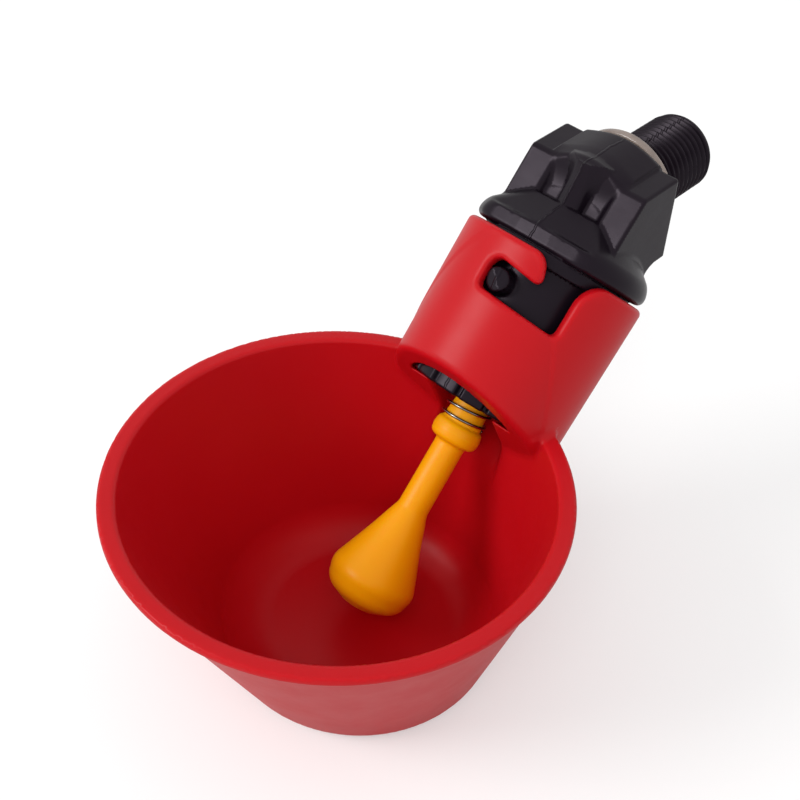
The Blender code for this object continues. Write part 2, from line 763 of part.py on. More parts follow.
def add_seat_gasket(valve_axis, material):
    """The rubber disc that the trigger's head closes."""
    profile = [
        (GASKET_HOLE, GASKET_BOTTOM),
        (SPIGOT_RADIUS, GASKET_BOTTOM),
        (SPIGOT_RADIUS, GASKET_TOP),
        (GASKET_HOLE, GASKET_TOP),
    ]
    return add_object("seat_gasket", turned(profile, SMALL_SEGMENTS), valve_axis, material)


def bulb_profile():
    """The bulb from its tip to the stem: a round end, a widest belt and a straight cone."""
    belt = BULB_WIDEST - TRIGGER_TIP
    profile = []
    for i in range(8):
        angle = math.pi / 2 * i / 7
        profile.append((BULB_RADIUS * math.sin(angle) ** 0.75, TRIGGER_TIP + belt * (1 - math.cos(angle) ** 1.15)))
    shoulder = BULB_WIDEST + belt * 0.35
    profile.append((BULB_RADIUS * 0.965, shoulder - belt * 0.1))
    cone_foot = (BULB_RADIUS * 0.88, shoulder + belt * 0.13)
    profile.append(cone_foot)
    cone_top = (STEM_RADIUS * 1.22, BULB_SHOULDER - STEM_RADIUS * 0.6)
    profile += [cone_top, (STEM_RADIUS * 1.05, BULB_SHOULDER), (STEM_RADIUS, BULB_SHOULDER + STEM_RADIUS)]
    return profile


def add_trigger(pivot_axis, material):
    """The yellow trigger, hanging through the cap and the seat from its head."""
    collar_bottom = COLLAR_TOP - TRIGGER_COLLAR_HEIGHT
    edge = (TRIGGER_COLLAR_RADIUS - STEM_RADIUS) / 2
    ledge = CAP_BOTTOM + SPRING_WELL_DEPTH
    flare = SPRING_SEAT_RADIUS - NECK_RADIUS
    head_edge = HEAD_SEAT + (HEAD_RADIUS - NECK_RADIUS) * math.tan(HEAD_UNDERCUT)
    profile = bulb_profile()
    profile.append((STEM_RADIUS, collar_bottom - edge))
    profile += arc((TRIGGER_COLLAR_RADIUS - edge, collar_bottom + edge / 2), edge, -60, 0, 3)
    profile += arc((TRIGGER_COLLAR_RADIUS - edge, COLLAR_TOP - edge), edge, 0, 90, 4)
    profile += [
        (SPRING_SEAT_RADIUS - GAP / 3, COLLAR_TOP),
        (SPRING_SEAT_RADIUS, CAP_BOTTOM),
        (NECK_RADIUS, ledge - flare / 4),
        (NECK_RADIUS, HEAD_SEAT),
        (HEAD_RADIUS, head_edge),
        (HEAD_RADIUS, HEAD_SEAT + HEAD_HEIGHT * 0.7),
        (HEAD_RADIUS * 0.7, HEAD_SEAT + HEAD_HEIGHT),
        (0, HEAD_SEAT + HEAD_HEIGHT),
    ]
    centred = [(radius, s - TRIGGER_PIVOT) for radius, s in profile]
    return add_object("trigger", turned(centred, SMALL_SEGMENTS), pivot_axis, material)


def add_return_spring(pivot_axis, material):
    """Steel wire wound round the neck, from the trigger's collar to the cap's ledge, with flattened end turns."""
    low = COLLAR_TOP + SPRING_END_GAP + WIRE_RADIUS - TRIGGER_PIVOT
    high = CAP_BOTTOM + SPRING_WELL_DEPTH - SPRING_END_GAP - WIRE_RADIUS - TRIGGER_PIVOT
    per_turn = 24
    count = int(SPRING_TURNS * per_turn)
    curve = bpy.data.curves.new("return_spring", "CURVE")
    curve.dimensions = "3D"
    curve.bevel_depth = WIRE_RADIUS
    curve.bevel_resolution = 2
    curve.use_fill_caps = True
    spline = curve.splines.new("POLY")
    spline.points.add(count)
    for i in range(count + 1):
        share = i / count
        height = low + (high - low) * (3 * share**2 - 2 * share**3)
        angle = math.tau * SPRING_TURNS * share
        spline.points[i].co = (SPRING_RADIUS * math.cos(angle), SPRING_RADIUS * math.sin(angle), height, 1)
    spring = bpy.data.objects.new("return_spring", curve)
    bpy.context.collection.objects.link(spring)
    spring.parent = pivot_axis
    curve.materials.append(material)
    return spring


def main():
    clear_scene()
    red = plastic("red polypropylene", (0.42, 0.004, 0.010), 0.38)
    black = plastic("black polypropylene", (0.022, 0.017, 0.022), 0.36)
    yellow = plastic("yellow acetal", (0.85, 0.36, 0.008), 0.35)
    rubber = plastic("black rubber", (0.02, 0.02, 0.02), 0.7)
    amber = plastic("clear amber washer", (0.32, 0.22, 0.15), 0.4)
    steel = plastic("stainless spring wire", (0.6, 0.58, 0.56), 0.25, 1.0)

    valve_axis = add_axis("valve_axis", VALVE_FRAME)
    inlet_axis = add_axis("inlet_axis", INLET_FRAME)
    pivot_axis = add_axis("trigger_pivot", Matrix.Translation((0, 0, TRIGGER_PIVOT)), valve_axis)
    bpy.context.view_layer.update()

    add_cup(valve_axis, red)
    add_valve_body(valve_axis, inlet_axis, black)
    add_thread_washer(inlet_axis, amber)
    add_retaining_cap(valve_axis, black)
    add_seat_gasket(valve_axis, rubber)
    add_trigger(pivot_axis, yellow)
    add_return_spring(pivot_axis, steel)
    bpy.context.view_layer.update()


main()
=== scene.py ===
"""Looks of the poultry drinking cup: every piece is made again as a smooth, rounded surface over the CAD frame.

Lengths in the shape functions are millimetres. Two coordinate systems are used. Row coordinates are the CAD's:
origin under the bowl, Z up, X towards the pipe. Valve coordinates (over, side, along) run from the point where the
valve axis crosses the rim's plane: along the axis, over towards its upper side, side towards -Y.
"""

import math

import bpy
import numpy as np
from mathutils import Matrix, Vector


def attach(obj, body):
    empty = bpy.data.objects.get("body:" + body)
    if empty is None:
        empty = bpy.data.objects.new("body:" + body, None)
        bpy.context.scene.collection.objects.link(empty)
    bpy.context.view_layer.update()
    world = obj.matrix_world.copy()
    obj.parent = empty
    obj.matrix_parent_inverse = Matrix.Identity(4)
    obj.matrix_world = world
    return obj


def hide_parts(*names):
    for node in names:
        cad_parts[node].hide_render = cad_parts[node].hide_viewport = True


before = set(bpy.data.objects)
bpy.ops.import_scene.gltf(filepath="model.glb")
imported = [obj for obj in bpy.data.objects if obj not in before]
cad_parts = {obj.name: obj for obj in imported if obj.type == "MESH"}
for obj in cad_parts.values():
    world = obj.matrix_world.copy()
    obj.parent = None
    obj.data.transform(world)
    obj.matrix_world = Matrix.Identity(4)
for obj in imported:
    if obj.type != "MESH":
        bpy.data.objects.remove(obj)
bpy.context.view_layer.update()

# Sizes in millimetres. Most are the CAD's own. The fillets, the recess, the cap's lower edge and the thread's crests
# are closer to the photograph here.
BOWL_HEIGHT = 30.6
RIM_RADIUS = 27.7
RIM_SHIFT = 4.5
BASE_RADIUS = 17.2
WALL = 1.5
LIP_WIDTH = 2.1
BEAD_HEIGHT = 1.15
BEAD_OVERHANG = 0.3
CROSSING = np.array([21.7, 0.0, 30.6])
LEAN = math.radians(43.1)
ALONG = np.array([math.sin(LEAN), 0.0, math.cos(LEAN)])
OVER = np.array([-math.cos(LEAN), 0.0, math.sin(LEAN)])
SIDE = np.array([0.0, -1.0, 0.0])
SOCKET_RADIUS = 12.0
SOCKET_DRAFT = 0.0157
SOCKET_TOP = 17.0
SOCKET_BORE = 10.5
MOUTH_BORE = 9.08
MOUTH_BORE_TOP = 4.0
SPIGOT_RADIUS = 7.3
SOCKET_FLOOR = -3.5
FOOT_RADIUS = 8.7
FOOT_LOW = -12.4
BASE_ROUNDING = 1.6
FLOOR_FILLET = 4.5
RECESS_HALF_WIDTH = 5.1
RECESS_BACK = 23.0
RECESS_BACK_HEIGHT = 26.5
RECESS_LEAN = 0.55
RECESS_START = 14
RECESS_LOW = 15
MOUTH_TOP = -1.0
MOUTH_SLOPE = 0.404
LUG_ALONG = 11.65
LUG_RADIUS = 1.55
LUG_OUTER = 11.55
BARREL_RADIUS = 9.2
BARREL_LOW = 4
GUIDE_RADIUS = 10.18
CHAMBER_RADIUS = 5.2
CHAMBER_TOP = 9.3
SKIRT_RADIUS = 11.78
SKIRT_LOW = 17.3
ELBOW = CROSSING + 24.94 * ALONG
COLLAR_RADIUS = 7.5
BLOCK_HALF_HEIGHT = 6.0
WING_TOP = 5.3
WING_HALF_WIDTH = 8.7
CORE_TOP = 4.4
CORE_HALF_WIDTH = 5.2
RIDGE = 6.62
RIDGE_RISE = 0.11
WING_END = 43.94
COLLAR_START = 37.14
COLLAR_END = 44.34
THREAD_RADIUS = 5.14
THREAD_PITCH = 0.9407
INLET_END = 58.14
INLET_BORE = 3.0
CAP_LOW = -3.1
CAP_RADIUS = 8.76
NOTCHES = 14
PIVOT_ALONG = 0.95
TRIGGER_SWAY = 0.014


# Coordinates


def to_valve(points):
    """Row points as (over, side, along) in valve coordinates."""
    return (points - CROSSING) @ np.stack([OVER, SIDE, ALONG]).T


def from_valve(points):
    """Valve points (over, side, along) as row points."""
    return CROSSING + points @ np.stack([OVER, SIDE, ALONG])


def from_inlet(points):
    """Inlet points (up, side, along X) as row points, with the along coordinate measured from the row's origin."""
    return np.stack([points[..., 2], -points[..., 1], ELBOW[2] + points[..., 0]], -1)


# Joining distance fields. A field is negative inside a form and grows by one for each millimetre outwards.


def joined(a, b, fillet):
    """The union of two forms, with a hollow fillet of this radius where they meet."""
    near = np.hypot(np.maximum(fillet - a, 0), np.maximum(fillet - b, 0))
    return np.maximum(fillet, np.minimum(a, b)) - near


def shared(a, b, edge):
    """What two forms share, with its edge rounded to this radius."""
    near = np.hypot(np.maximum(edge + a, 0), np.maximum(edge + b, 0))
    return np.minimum(-edge, np.maximum(a, b)) + near


def slab(value, low, high):
    """The layer between two values of one coordinate."""
    return np.maximum(low - value, value - high)


def slanted(value, steepness):
    """A slanting plane or cone: divided by its steepness, it grows by one for each millimetre straight off it."""
    return value / steepness


# Meshes


def add_piece(name, points, faces, material, body, replaced, slot, normals=None):
    """Puts a surface in millimetres into the scene in metres, smooth, and ties it to its CAD body."""
    mesh = bpy.data.meshes.new(name)
    mesh.from_pydata(points / 1000, [], faces)
    mesh.validate()
    mesh.shade_smooth()
    if normals is not None:
        mesh.normals_split_custom_set_from_vertices(normals)
    mesh.materials.append(material)
    piece = bpy.data.objects.new(name, mesh)
    bpy.context.scene.collection.objects.link(piece)
    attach(piece, body)
    for node in replaced:
        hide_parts(node)


def graded(*spans):
    """Grid planes along one axis, from (start, end, spacing) spans."""
    return np.concatenate([np.arange(start, end, spacing) for start, end, spacing in spans])


def level_surface(field, axes):
    """The surface where a distance field is zero, as points, quads and normals.

    The field is read on a grid of cells between the planes of three axes. Each cell that the surface crosses holds one
    point: the mean of the places where the cell's twelve edges cross zero, moved onto the surface by Newton steps
    along the field's slope. Each grid edge that crosses zero makes one quad of the four cells round it. The normal is
    the field's slope.
    """
    grid = np.stack(np.meshgrid(*axes, indexing="ij"), -1)
    value = field(grid.reshape(-1, 3)).reshape(grid.shape[:3])
    inside = value < 0
    size = np.array(inside.shape) - 1
    corners = [(i, j, k) for i in (0, 1) for j in (0, 1) for k in (0, 1)]

    def at(array, corner):
        return array[tuple(slice(c, c + n) for c, n in zip(corner, size))]

    held = sum(at(inside, corner).astype(int) for corner in corners)
    crossed = (held > 0) & (held < 8)
    number = np.full(crossed.shape, -1)
    number[crossed] = np.arange(crossed.sum())
    total = np.zeros((crossed.sum(), 3))
    count = np.zeros(crossed.sum())
    for axis in range(3):
        for corner in corners:
            if corner[axis]:
                continue
            end = tuple(c + (i == axis) for i, c in enumerate(corner))
            first, last = at(value, corner)[crossed], at(value, end)[crossed]
            cuts = (first < 0) != (last < 0)
            share = np.where(cuts, first / np.where(cuts, first - last, 1), 0)
            near, far = at(grid, corner)[crossed], at(grid, end)[crossed]
            total += (near + share[:, None] * (far - near)) * cuts[:, None]
            count += cuts
    points = total / count[:, None]
    quads = []
    for axis in range(3):
        span = [slice(1, n) for n in size]
        span[axis] = slice(0, size[axis])
        after = list(span)
        after[axis] = slice(1, size[axis] + 1)
        here, there = inside[tuple(span)], inside[tuple(after)]
        place = np.argwhere(here != there) + [0 if i == axis else 1 for i in range(3)]
        leaving = here[here != there]
        b, c = (axis + 1) % 3, (axis + 2) % 3
        ring = []
        for back_b, back_c in ((1, 1), (0, 1), (0, 0), (1, 0)):
            cell = place.copy()
            cell[:, b] -= back_b
            cell[:, c] -= back_c
            ring.append(number[tuple(cell.T)])
        quad = np.stack(ring, -1)
        quads.append(np.where(leaving[:, None], quad, quad[:, ::-1]))
    quads = np.concatenate(quads)
    small, least_slope, longest_step, newton_steps = 0.01, 0.05, 0.15, 4
    for _ in range(newton_steps):
        slope = np.stack(
            [(field(points + small * e) - field(points - small * e)) / (2 * small) for e in np.eye(3)], -1
        )
        length = np.maximum((slope**2).sum(-1), least_slope)
        move = (field(points) / length)[:, None] * slope
        reach = np.maximum(np.linalg.norm(move, axis=1, keepdims=True) / longest_step, 1)
        points = points - move / reach
    normals = slope / np.maximum(np.linalg.norm(slope, axis=1, keepdims=True), 1e-9)
    return points, quads, normals


def ring_grid(points, closed_profile):
    """Quads of a grid [profile, angle] that is joined to itself round the angle, and along the profile if asked."""
    rows, turns = points.shape[:2]
    number = np.arange(rows * turns).reshape(rows, turns)
    lower = number if closed_profile else number[:-1]
    upper = np.roll(number, -1, 0) if closed_profile else number[1:]
    quads = np.stack([lower, np.roll(lower, -1, 1), np.roll(upper, -1, 1), upper], -1)
    return points.reshape(-1, 3), quads.reshape(-1, 4)


def rounded_profile(corners, spacing=0.12):
    """A profile of (radius, along, edge radius) corners as dense points, each corner an arc of its edge radius."""
    line = []
    for before, here, after in zip(corners[:1] + corners[:-1], corners, corners[1:] + corners[-1:]):
        corner = np.array(here[:2], float)
        back, ahead = np.array(before[:2]) - corner, np.array(after[:2]) - corner
        if here[2] == 0 or not back.any() or not ahead.any():
            line.append(corner[None])
            continue
        back, ahead = back / np.linalg.norm(back), ahead / np.linalg.norm(ahead)
        half = math.acos(np.clip(back @ ahead, -1, 1)) / 2
        middle = (back + ahead) / np.linalg.norm(back + ahead)
        centre = corner + middle * here[2] / math.sin(half)
        start = corner + back * here[2] / math.tan(half) - centre
        across = corner + ahead * here[2] / math.tan(half) - centre
        turn = math.pi - 2 * half
        share = np.linspace(0, 1, max(4, int(turn * here[2] / spacing)))[:, None]
        arc = (start * np.sin((1 - share) * turn) + across * np.sin(share * turn)) / math.sin(turn)
        line.append(centre + arc)
    return np.concatenate(line)


def filled(profile, spacing):
    """A profile with points added so that none are further apart than the spacing."""
    steps = np.linalg.norm(np.diff(profile, axis=0), axis=1)
    length = np.concatenate([[0], np.cumsum(steps)])
    extra = np.arange(0, length[-1], spacing)
    wanted = np.unique(np.round(np.concatenate([length, extra]), 4))
    return np.stack([np.interp(wanted, length, profile[:, i]) for i in (0, 1)], -1)


def around(turns):
    """Evenly spaced angles of one whole turn."""
    return np.linspace(0, math.tau, turns, endpoint=False)


def carried_round(radius, along, angle):
    """Points (r cos a, r sin a, along) of radii that may change along the profile and round the turn."""
    return np.stack([radius * np.cos(angle), radius * np.sin(angle), along + 0 * angle], -1)


def turned(profile, turns, place):
    """A profile of (radius, along) points carried round the axis and put in its place."""
    return place(carried_round(profile[:, 0, None], profile[:, 1, None], around(turns)))


def ring_surface(corners, spacing, turns, place):
    """A ring with a hole: its closed profile of (radius, along, edge radius) corners, carried round the axis."""
    profile = rounded_profile([corners[-1], *corners, corners[0]])[1:-1]
    return ring_grid(turned(filled(profile, spacing), turns, place), True)


def add_turned(name, corners, turns, place, material, body, replaced, slot, spacing):
    """A turned piece from its corners, with the poles on the axis closed by a tiny ring and a cap."""
    profile = filled(rounded_profile(corners), spacing)
    points, quads = ring_grid(turned(profile, turns, place), False)
    last = len(points) - turns
    caps = [list(range(turns))[::-1], list(range(last, last + turns))]
    add_piece(name, points, quads.tolist() + caps, material, body, replaced, slot)


# The red cup


def bowl_centre(z):
    """X of the bowl's leaning middle line at a height."""
    return -RIM_SHIFT * z / BOWL_HEIGHT


def cone_field(points, bottom, top):
    """Distance to a leaning cone whose radius goes from bottom to top over the bowl's height.

    The radius about the leaning middle line, less the cone's, over the steepness of that difference.
    """
    z = points[:, 2]
    x = points[:, 0] - bowl_centre(z)
    radius = np.hypot(x, points[:, 1])
    grow = (top - bottom) / BOWL_HEIGHT
    slope = grow - RIM_SHIFT / BOWL_HEIGHT * x / np.maximum(radius, 1)
    return slanted(radius - bottom - grow * z, np.sqrt(1 + slope**2))


def slot_field(turn, along):
    """Distance to the empty side of the socket's upper edge, unrolled: both J-shaped slots and all above the rim.

    Each slot is a box between three straight sides, less the hook that hangs into it, and it opens into the space
    above the rim with a small fillet on the hook's side and a large one on the shoulder's.
    """
    half_turn = (turn + math.pi / 2) % math.pi - math.pi / 2
    unrolled_radius = 12.25
    u = half_turn * unrolled_radius
    left, hook_end, right = -1.95, 5.42, 10.45
    floor = 9.8 - 0.072 * (u + 0.3)
    hook_low = 13.26 + 0.14 * (hook_end - u)
    hook_side = hook_end + 0.1 - 0.4 * (along - 14.3)
    corner, hook_tip, hook_root, hook_shoulder, shoulder = 0.9, 1.45, 1.9, 1.5, 3.6
    box = shared(shared(left - u, floor - along, corner), u - right, corner)
    hook = shared(slanted(u - hook_side, 1.08), hook_low - along, hook_tip)
    empty = shared(box, -hook, hook_root)
    over_hook = joined(empty, SOCKET_TOP - along, hook_shoulder)
    over_shoulder = joined(empty, SOCKET_TOP - along, shoulder)
    return np.where(u < (hook_end + right) / 2, over_hook, over_shoulder)


def cup_field(points):
    """Bowl and socket as one moulding.

    Outer form: leaning cone, rounded at the base, joined to the rim's bead and to the socket with its foot. Taken
    away: the inside of the bowl, except for the hood over the mouth, the socket's bore, and the upright recess in the
    wall behind the trigger. The socket's rim and slots have soft edges.
    """
    z = points[:, 2]
    over, side, along = to_valve(points).T
    radius = np.hypot(over, side)
    turn = np.arctan2(side, over)

    outer = shared(cone_field(points, BASE_RADIUS, RIM_RADIUS - BEAD_OVERHANG), -z, BASE_ROUNDING)
    outer = np.maximum(outer, z - BOWL_HEIGHT + 0.3)
    rim_middle = RIM_RADIUS - LIP_WIDTH / 2
    lip_x = np.hypot(points[:, 0] + RIM_SHIFT, points[:, 1]) - rim_middle
    lip_z = z - BOWL_HEIGHT + BEAD_HEIGHT / 2
    bead = shared(lip_x - LIP_WIDTH / 2, np.abs(lip_z) - BEAD_HEIGHT / 2, 0.55)
    outer = joined(outer, bead, 0.5)

    skin = radius - SOCKET_RADIUS - SOCKET_DRAFT * along
    foot = shared(radius - FOOT_RADIUS, FOOT_LOW - along, 0.5)
    shoulder = (SOCKET_FLOOR - 1.4 - along + 0.35 * (radius - SOCKET_RADIUS)) * 0.94
    socket = shared(skin, shoulder, 0.8)
    # The slots are only looked for in the socket's upper wall, since unrolling means nothing near the axis.
    near = (radius > 8) & (along > 5)
    rim = np.where(near, slot_field(turn, np.where(near, along, 0)), SOCKET_TOP - along)
    socket = shared(socket, -rim, 0.75)
    form = joined(joined(outer, foot, 0.8), socket, 0.9)

    inside = cone_field(points, BASE_RADIUS - WALL, RIM_RADIUS - LIP_WIDTH)
    cavity = shared(inside, WALL - z, FLOOR_FILLET)
    under_mouth = (along - MOUTH_TOP + MOUTH_SLOPE * (SOCKET_BORE - over)) * 0.93
    hood = shared(skin, -under_mouth, 0.9)
    cavity = shared(cavity, -hood, 0.45)
    form = shared(form, -cavity, 0.5)
    bore = shared(radius - SOCKET_BORE, MOUTH_BORE_TOP - along, 0.3)
    bore = np.minimum(bore, shared(radius - MOUTH_BORE, SOCKET_FLOOR - along, 0.3))
    x = points[:, 0]
    back = slanted(x - RECESS_BACK - RECESS_LEAN * (z - RECESS_BACK_HEIGHT), 1.141)
    recess = shared(np.abs(points[:, 1]) - RECESS_HALF_WIDTH, back, 0.8)
    # Kept below the socket's floor, and to the bowl's wall on the valve's side.
    recess = np.maximum(recess, along - SOCKET_FLOOR - 1)
    recess = np.maximum(recess, np.maximum(RECESS_START - x, RECESS_LOW - z))
    return shared(shared(form, -recess, 0.5), -bore, 0.3)


# The black valve body


def valve_field(points):
    """Spigot, barrel, skirt, dome, winged knob and collar as one moulding.

    The barrel and skirt are rings about the valve axis. The prow is two planes that fall away from a ridge, cut into
    the skirt's dome. The knob is a block mitred at the elbow: two wings, and between them a lower core with a gabled
    rib. The collar is a drum about the inlet, blended into core and rib with a wide fillet and into the wings with a
    small one.
    """
    x, y, z = points.T
    over, side, along = to_valve(points).T
    radius = np.hypot(over, side)
    width = np.abs(side)
    soft = 0.32

    barrel = shared(radius - BARREL_RADIUS, slab(along, BARREL_LOW, 18), 0.1)
    spigot = shared(radius - SPIGOT_RADIUS, slab(along, 1.78, 6), 0.2)
    guide = shared(radius - GUIDE_RADIUS, slab(along, 4.26, 5.7), 0.3)
    neck = shared(radius - GUIDE_RADIUS, slab(along, 15.6, 17.35), 0.3)
    low = np.minimum(np.minimum(barrel, spigot), np.minimum(guide, neck))

    lug_x = np.hypot(side, along - LUG_ALONG)
    lug_roof = np.abs(over) - LUG_OUTER + 0.22 * np.abs(side + along - LUG_ALONG)
    low = joined(low, shared(lug_x - LUG_RADIUS, lug_roof, 0.25), 0.25)

    dome = slanted(radius - 11.5 + 1.16 * (along - 19.75), 1.53)
    skirt = shared(shared(radius - SKIRT_RADIUS, SKIRT_LOW - along, 0.9), dome, 0.9)
    front = np.maximum(over - 9.5, 0.996 * over + 0.0907 * width - 9.67)
    prow = slanted((over - 9.06) + 0.83 * (along - 20.27) + 0.167 * width, 1.31)
    skirt = shared(shared(skirt, front, 0.7), joined(prow, along - 19.6, 0.3), soft)
    behind = shared(CORE_TOP - over, 23.3 - along, 0.3)
    skirt = shared(np.maximum(skirt, along - 27), -np.maximum(behind, width - 5), 0.2)

    block = shared(z - ELBOW[2] - BLOCK_HALF_HEIGHT, x - WING_END, soft)
    block = shared(block, joined(-5.6 - over, ELBOW[2] - 5.6 - z, 0.6), soft)
    block = np.maximum(block, 18.4 - along)
    inner_face = slanted(width - 4.8 - 0.8 * (over - WING_TOP), 1.28)
    wing = shared(shared(block, over - WING_TOP, soft), width - WING_HALF_WIDTH, soft)
    wing = shared(wing, np.maximum(-inner_face, 4.1 - width), soft)
    core = np.maximum(shared(block, over - CORE_TOP, soft), width - CORE_HALF_WIDTH)
    ridge = RIDGE + RIDGE_RISE * (along - 23.5)
    flank = slanted(width - 1.5 - 0.35 * (5.75 - over), 1.06)
    rib = shared(slanted(over + 0.62 * width - ridge, 1.18), flank, 0.25)
    rib = np.maximum(rib, slab(along, 21.5, 28.4))
    drum = np.hypot(y, z - ELBOW[2]) - COLLAR_RADIUS
    # The rib ends inside the collar's drum, so that nothing of it shows past the collar.
    rib = np.maximum(rib, np.maximum(1 - over, drum - 0.1))
    drum = shared(drum, slab(x, COLLAR_START, COLLAR_END), 0.45)
    middle = joined(joined(core, rib, 0.35), drum, 2.2)
    upper = joined(middle, wing, soft)
    form = joined(joined(low, skirt, 0.1), upper, soft)
    chamber = np.maximum(radius - CHAMBER_RADIUS, along - CHAMBER_TOP)
    return shared(form, -chamber, 0.2)


def thread_surface():
    """The inlet's threaded end as a ring: bore, end face with its chamfer, and crests wound round the outside.

    Outside radius = crest - depth * (0.5 - 0.5 cos(turn + tau x / pitch)) ** 0.8, fading to the root at both ends.
    """
    turns = 160
    start, end = COLLAR_END - 1.2, INLET_END
    depth, chamfer, undercut = 0.55, 0.55, 0.5
    edge, face_step, bore_inner_end = 0.25, 0.75, 40
    outside = np.arange(start, end - edge, THREAD_PITCH / 14)
    end_face = np.linspace(0, 1, 7)
    bore_x = np.linspace(end - edge, bore_inner_end, 30)
    x = np.concatenate([outside, end + 0 * end_face, bore_x])
    angle = around(turns)
    wave = 0.5 - 0.5 * np.cos(angle[None] + math.tau * outside[:, None] / THREAD_PITCH)
    run_in = np.clip((outside - COLLAR_END - 0.9) / 0.7, 0, 1)
    fade = np.clip((end - 0.35 - outside) / 0.9, 0, 1) * run_in
    crest = THREAD_RADIUS - chamfer * (1 - np.clip((end - outside) / 1.0, 0, 1))
    crest = crest - undercut * (1 - run_in)
    thread = crest[:, None] - depth * fade[:, None] * wave**0.8
    face = (THREAD_RADIUS - face_step) + (INLET_BORE + edge - THREAD_RADIUS + face_step) * end_face
    bore = np.full((len(bore_x), turns), INLET_BORE)
    radius = np.concatenate([thread, np.repeat(face[:, None], turns, 1), bore])
    return ring_grid(from_inlet(carried_round(radius, x[:, None], angle)), True)


# Small pieces


def cap_surface():
    """The retaining cap: a turned profile whose outer wall steps in at fourteen grip notches by its lower edge.

    A step is 1 / (1 + exp(distance past it / softness)). Depth of a notch = 0.7 * a step across it * a step at its
    upper end * a step that keeps it to the outer wall.
    """
    rim, inner, floor, underside = 3.93, 7.6, -0.35, -1.55
    corners = [
        (4.4, CAP_LOW, 0.3), (CAP_RADIUS, CAP_LOW, 0.35), (CAP_RADIUS, rim, 0.3), (inner, rim, 0.15),
        (inner, floor, 0.1), (2.2, floor, 0.1), (2.2, underside, 0.1), (3.9, underside, 0.1),
    ]
    profile = rounded_profile([corners[-1], *corners, corners[0]], 0.06)
    profile = filled(profile, 0.25)[1:-1]
    angle = around(480)
    radius, along = profile[:, 0, None], profile[:, 1, None]
    notch_turn, notch_half_width, notch_height, notch_depth = 0.033, 0.38, 2.0, 0.7
    cell = (angle / math.tau * NOTCHES + notch_turn) % 1 - 0.5
    arc = np.abs(cell) * math.tau / NOTCHES * CAP_RADIUS
    across = 1 / (1 + np.exp((arc - notch_half_width) / 0.05))
    up = 1 / (1 + np.exp((along - (CAP_LOW + notch_height)) / 0.1))
    outer = 1 / (1 + np.exp((7.9 - radius) / 0.08))
    radius = radius - notch_depth * across * up * outer
    return ring_grid(from_valve(carried_round(radius, along, angle)), True)


def spring_surface():
    """Round wire carried along a helix that flattens at both ends: height follows 3 t^2 - 2 t^3.

    A point of the wire = the helix's point + wire radius * (cos b * outward + sin b * the third direction), where both
    directions stand square on the wire.
    """
    turns, mean, wire, start_angle = 3.5, 2.88, 0.19, 2.2
    low, high = -6.5 + 0.3, -2.5
    sides = 12
    share = np.linspace(0, 1, 240)[:, None]
    height = low + (high - low) * (3 * share**2 - 2 * share**3)
    angle = math.tau * turns * share + start_angle
    centre = np.concatenate([mean * np.cos(angle), mean * np.sin(angle), height], 1)
    forward = np.gradient(centre, axis=0)
    forward /= np.linalg.norm(forward, axis=1, keepdims=True)
    outward = np.concatenate([np.cos(angle), np.sin(angle), 0 * angle], 1)
    outward -= (outward * forward).sum(1, keepdims=True) * forward
    outward /= np.linalg.norm(outward, axis=1, keepdims=True)
    third = np.cross(forward, outward)
    about = around(sides)[None, :, None]
    grid = centre[:, None] + wire * (np.cos(about) * outward[:, None] + np.sin(about) * third[:, None])
    points, quads = ring_grid(from_valve(grid), False)
    last = len(points) - sides
    return points, quads[:, ::-1].tolist() + [list(range(sides)), list(range(last, last + sides))[::-1]]


# The trigger's profile from its tip up to its head: (radius, along, edge radius)
TRIGGER_CORNERS = [
    (0.05, -33.4, 0), (2.4, -33.4, 2.2), (5.2, -32.0, 2.4), (5.9, -29.3, 2.6), (4.95, -26.9, 4.0),
    (3.6, -23.4, 8), (2.6, -20.5, 3.0), (2.05, -19.0, 2.0), (2.0, -9.2, 0.4), (3.05, -9.0, 0.8),
    (3.25, -7.8, 1.1), (3.05, -6.5, 0.9), (2.6, -6.4, 0.2), (2.25, -3.3, 0.2), (2.25, -2.85, 0.2), (1.45, -2.25, 0.2),
    (1.45, 1.75, 0.1), (3.4, 2.35, 0.15), (3.4, 3.2, 0.3), (2.2, 3.65, 0.4), (0.05, 3.65, 0),
]


def from_trigger(points):
    """Valve points of the trigger as row points, swung about its pivot to hang a little to the side as pictured."""
    over, side, along = points[..., 0], points[..., 1], points[..., 2] - PIVOT_ALONG
    swung = np.stack([over, side - TRIGGER_SWAY * along, along + TRIGGER_SWAY * side + PIVOT_ALONG], -1)
    return from_valve(swung)


# Materials


def linear(code):
    """An sRGB hex colour as linear red, green, blue and alpha."""
    parts = [int(code[i : i + 2], 16) / 255 for i in (1, 3, 5)]
    return [c / 12.92 if c <= 0.04045 else ((c + 0.055) / 1.055) ** 2.4 for c in parts] + [1]


def add_node(tree, kind, links=(), **settings):
    """Adds a node, sets its properties and sockets by name, and links (output, socket) pairs into it."""
    node = tree.nodes.new(kind)
    for key, value in settings.items():
        socket = key.replace("_", " ")
        if socket in node.inputs:
            node.inputs[socket].default_value = value
        else:
            setattr(node, key, value)
    for output, socket in links:
        tree.links.new(output, node.inputs[socket])
    return node


def new_material(name):
    """A material with its node tree and its shader."""
    material = bpy.data.materials.new(name)
    material.use_nodes = True
    tree = material.node_tree
    return material, tree, tree.nodes["Principled BSDF"]


def set_shader(shader, **values):
    """Sets sockets of a shader by name."""
    for key, value in values.items():
        shader.inputs[key.replace("_", " ")].default_value = value


def object_mm(tree):
    """Object coordinates in millimetres."""
    place = add_node(tree, "ShaderNodeTexCoord")
    scale = add_node(tree, "ShaderNodeVectorMath", [(place.outputs["Object"], 0)], operation="SCALE")
    scale.inputs["Scale"].default_value = 1000
    return scale.outputs[0]


